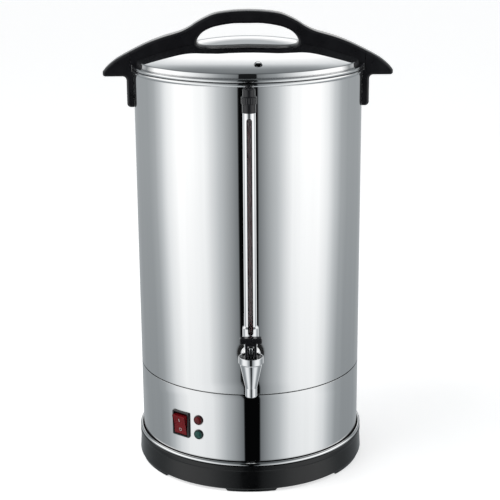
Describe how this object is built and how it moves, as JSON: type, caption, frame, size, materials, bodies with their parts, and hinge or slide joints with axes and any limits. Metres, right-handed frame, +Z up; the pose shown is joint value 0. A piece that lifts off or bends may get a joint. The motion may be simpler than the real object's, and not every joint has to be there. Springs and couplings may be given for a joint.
{
  "type": "hot water urn",
  "caption": "Upright steel hot water urn with a domed lid, arched black handle, side handles, pull-lever tap, sight gauge, rocker switch and lamps on a black base ring.",
  "frame": {"origin": "on the table, under the middle of the whole outline from the tap's collar to the base ring's back", "axes": "+Z up along the tank, -Y towards the tap, +X to the right seen from the tap"},
  "size_m": [0.343, 0.334, 0.5517],
  "materials": {
    "steel": "bright polished stainless sheet, faint vertical drawing marks",
    "black_plastic": "satin black heat-proof moulding, fine spark texture",
    "base_plastic": "satin charcoal moulding",
    "chrome": "polished chrome plate",
    "rubber": "soft black rubber",
    "silicone": "off-white food-grade silicone",
    "glass": "clear drawn tube",
    "strip_red": "printed fine slanted hatching, red-brown on pale",
    "brass": "turned brass",
    "spring_steel": "drawn stainless wire",
    "aluminium": "as cast",
    "zinc": "zinc plated",
    "dark_plastic": "phenolic moulding",
    "switch_red": "gloss red rocker with pale on and off marks",
    "lamp_red": "translucent red lens",
    "lamp_green": "translucent green lens",
    "wire_brown": "smooth insulation",
    "wire_blue": "smooth insulation"
  },
  "bodies": {
    "urn": {"tank_shell": "steel", "skirt_shell": "steel", "side_handle_left": "black_plastic", "side_handle_right": "black_plastic", "switch_housing": "black_plastic", "inlet_body": "black_plastic", "tap_bonnet": "black_plastic", "gauge_cap": "black_plastic", "base_ring": "base_plastic", "tap_body": "chrome", "gauge_shield": "chrome", "tap_outer_seal": "rubber", "tap_inner_seal": "rubber", "gauge_seal": "rubber", "gauge_glass": "glass", "level_strip": "strip_red", "tap_back_nut": "brass", "live_pin": "brass", "neutral_pin": "brass", "earth_pin": "brass", "valve_spring": "spring_steel", "heater_element": "spring_steel", "heater_plate": "aluminium", "bottom_plate": "zinc", "plate_screw_1": "zinc", "plate_screw_2": "zinc", "plate_screw_3": "zinc", "clamp_bar": "zinc", "clamp_nut": "zinc", "gauge_stud": "zinc", "gauge_nut": "zinc", "handle_screw_left_1": "zinc", "handle_screw_left_2": "zinc", "handle_screw_right_1": "zinc", "handle_screw_right_2": "zinc", "inlet_screw_left": "zinc", "inlet_screw_right": "zinc", "boil_thermostat": "dark_plastic", "warm_thermostat": "dark_plastic", "thermal_cutout": "dark_plastic", "boil_lamp_body": "dark_plastic", "warm_lamp_body": "dark_plastic", "boil_lamp_lens": "lamp_red", "warm_lamp_lens": "lamp_green", "live_wire": "wire_brown", "switched_wire": "wire_brown", "neutral_wire": "wire_blue"},
    "lid": {"lid_shell": "steel", "lid_handle": "black_plastic", "lid_screw_left": "zinc", "lid_screw_right": "zinc"},
    "tap_stem": {"valve_stem": "brass", "seat_cup": "silicone", "lever_pin": "spring_steel"},
    "tap_lever": {"tap_lever": "black_plastic"},
    "rocker": {"switch_rocker": "switch_red"}
  },
  "joints": [
    {"name": "lid_lift", "type": "slide", "parent": "urn", "child": "lid", "axis": [0, 0, 1], "range_m": [0, 0.12]},
    {"name": "stem_lift", "type": "slide", "parent": "urn", "child": "tap_stem", "axis": [0, 0, 1], "range_m": [0, 0.0035], "stiffness_N_per_m": 100, "springref_m": -0.006, "deforming": ["valve_spring"]},
    {"name": "lever_tilt", "type": "hinge", "parent": "tap_stem", "child": "tap_lever", "pos_m": [0, -0.15295, 0.194], "axis": [1, 0, 0], "range_deg": [0, 51]},
    {"name": "rocker_press", "type": "hinge", "parent": "urn", "child": "rocker", "pos_m": [-0.08207, -0.07875, 0.075], "axis": [-0.7902, 0.6129, 0], "range_deg": [0, 20]}
  ],
  "couplings": [
    {"joint": "lever_tilt", "follows": "stem_lift", "rad_per_m": 249.3}
  ]
}
